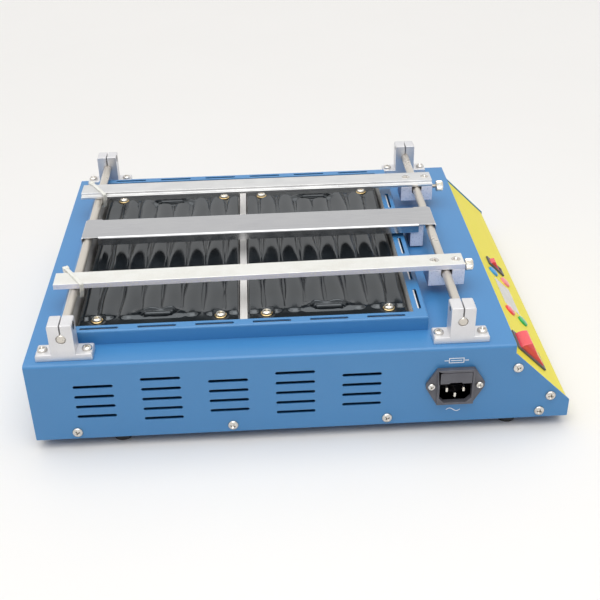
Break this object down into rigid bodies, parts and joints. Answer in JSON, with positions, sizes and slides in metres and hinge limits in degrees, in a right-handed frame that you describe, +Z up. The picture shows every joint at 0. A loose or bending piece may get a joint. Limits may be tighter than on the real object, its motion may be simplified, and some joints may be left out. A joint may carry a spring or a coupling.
{
  "type": "circuit board preheater",
  "caption": "Benchtop infrared preheater for circuit boards: vented sheet metal case, ribbed heater plates, guide rods with sliding clamp bars and a sloping control panel.",
  "frame": {"origin": "on the table under the middle of the case", "axes": "+X along the case towards the control panel, +Y from the mains inlet to the back, +Z up"},
  "size_m": [0.45, 0.3622, 0.119],
  "materials": {
    "blue_paint": "blue powder coat, fine orange peel",
    "base_paint": "blue powder coat",
    "yellow_paint": "yellow enamel",
    "reflector_metal": "bright reflector sheet",
    "insulation": "fibre board",
    "heater_black": "glossy black glaze",
    "white_ceramic": "unglazed",
    "brass": "bright",
    "zinc_steel": "bright zinc",
    "black_steel": "black oxide",
    "support_alloy": "satin anodised",
    "rod_steel": "ground and plated",
    "bar_alloy": "extruded, brushed",
    "block_alloy": "milled",
    "nickel": "nickel plated, knurled",
    "nylon": "natural nylon",
    "channel_steel": "satin sheet",
    "black_plastic": "moulded",
    "red_plastic": "moulded, glossy",
    "blue_plastic": "moulded",
    "pink_plastic": "moulded",
    "green_plastic": "moulded, glossy",
    "display_grey": "tinted window",
    "board_green": "solder mask",
    "cream_plastic": "moulded",
    "fuse_glass": "capped glass tube",
    "rubber": "matte"
  },
  "bodies": {
    "case": {"base_plate": "base_paint", "cover": "blue_paint", "control_panel": "yellow_paint", "heater_frame": "blue_paint", "reflector_tray": "reflector_metal", "insulation_board": "insulation", "heater_plate_left": "heater_black", "heater_plate_right": "heater_black", "divider_strip": "reflector_metal", "heater_screws": "brass", "heater_standoffs": "zinc_steel", "heater_terminals": "white_ceramic", "thermocouple": "zinc_steel", "support_front_left": "support_alloy", "support_front_right": "support_alloy", "support_rear_left": "support_alloy", "support_rear_right": "support_alloy", "support_screws": "zinc_steel", "support_nuts": "zinc_steel", "support_clamp_screws": "black_steel", "guide_rod_left": "rod_steel", "guide_rod_right": "rod_steel", "inlet_body": "black_plastic", "inlet_pins": "nickel", "inlet_screws": "zinc_steel", "power_switch": "black_plastic", "heater_switch": "black_plastic", "button_switches": "black_plastic", "display_window": "display_grey", "display_module": "black_plastic", "control_board": "board_green", "board_spacers": "zinc_steel", "power_relay": "cream_plastic", "relay_heatsink": "support_alloy", "terminal_block": "cream_plastic", "earth_stud": "brass", "feet": "rubber", "foot_screws": "zinc_steel", "case_screws": "zinc_steel"},
    "front_carriage": {"front_clamp_bar": "bar_alloy", "front_clamp_block": "block_alloy", "front_bar_screws": "zinc_steel", "front_cable_tie": "nylon"},
    "front_thumbscrew": {"front_thumbscrew": "nickel"},
    "rear_carriage": {"rear_clamp_bar": "bar_alloy", "rear_clamp_block": "block_alloy", "rear_bar_screws": "zinc_steel", "rear_cable_tie": "nylon"},
    "rear_thumbscrew": {"rear_thumbscrew": "nickel"},
    "channel_carriage": {"board_channel": "channel_steel", "channel_guide_block": "block_alloy"},
    "power_rocker": {"power_rocker": "red_plastic"},
    "heater_rocker": {"heater_rocker": "red_plastic"},
    "button_blue": {"button_blue": "blue_plastic"},
    "button_pink": {"button_pink": "pink_plastic"},
    "button_red": {"button_red": "red_plastic"},
    "button_green": {"button_green": "green_plastic"},
    "fuse_drawer": {"fuse_drawer": "black_plastic", "fuse": "fuse_glass"}
  },
  "joints": [
    {"name": "front_bar_slide", "type": "slide", "parent": "case", "child": "front_carriage", "axis": [0, 1, 0], "range_m": [-0.05, 0.028]},
    {"name": "front_thumbscrew_turn", "type": "hinge", "parent": "front_carriage", "child": "front_thumbscrew", "pos_m": [0.13045, -0.07925, 0.106], "axis": [0.9998, 0.0175, 0], "range_deg": [0, 360]},
    {"name": "rear_bar_slide", "type": "slide", "parent": "case", "child": "rear_carriage", "axis": [0, 1, 0], "range_m": [-0.022, 0.05]},
    {"name": "rear_thumbscrew_turn", "type": "hinge", "parent": "rear_carriage", "child": "rear_thumbscrew", "pos_m": [0.1305, 0.08425, 0.106], "axis": [1, 0, 0], "range_deg": [0, 360]},
    {"name": "channel_slide", "type": "slide", "parent": "case", "child": "channel_carriage", "axis": [0, 1, 0], "range_m": [-0.028, 0.02]},
    {"name": "power_rocker_tilt", "type": "hinge", "parent": "case", "child": "power_rocker", "pos_m": [0.19409, -0.14425, 0.05508], "axis": [0, -1, 0], "range_deg": [0, 36]},
    {"name": "heater_rocker_tilt", "type": "hinge", "parent": "case", "child": "heater_rocker", "pos_m": [0.20046, 0.01175, 0.04872], "axis": [0, -1, 0], "range_deg": [0, 36]},
    {"name": "button_blue_press", "type": "slide", "parent": "case", "child": "button_blue", "axis": [-0.7071, 0, -0.7071], "range_m": [0, 0.0015], "stiffness_N_per_m": 1200},
    {"name": "button_pink_press", "type": "slide", "parent": "case", "child": "button_pink", "axis": [-0.7071, 0, -0.7071], "range_m": [0, 0.0015], "stiffness_N_per_m": 1200},
    {"name": "button_red_press", "type": "slide", "parent": "case", "child": "button_red", "axis": [-0.7071, 0, -0.7071], "range_m": [0, 0.0015], "stiffness_N_per_m": 1200},
    {"name": "button_green_press", "type": "slide", "parent": "case", "child": "button_green", "axis": [-0.7071, 0, -0.7071], "range_m": [0, 0.0015], "stiffness_N_per_m": 1200},
    {"name": "fuse_drawer_slide", "type": "slide", "parent": "case", "child": "fuse_drawer", "axis": [0, -1, 0], "range_m": [0, 0.018]}
  ]
}
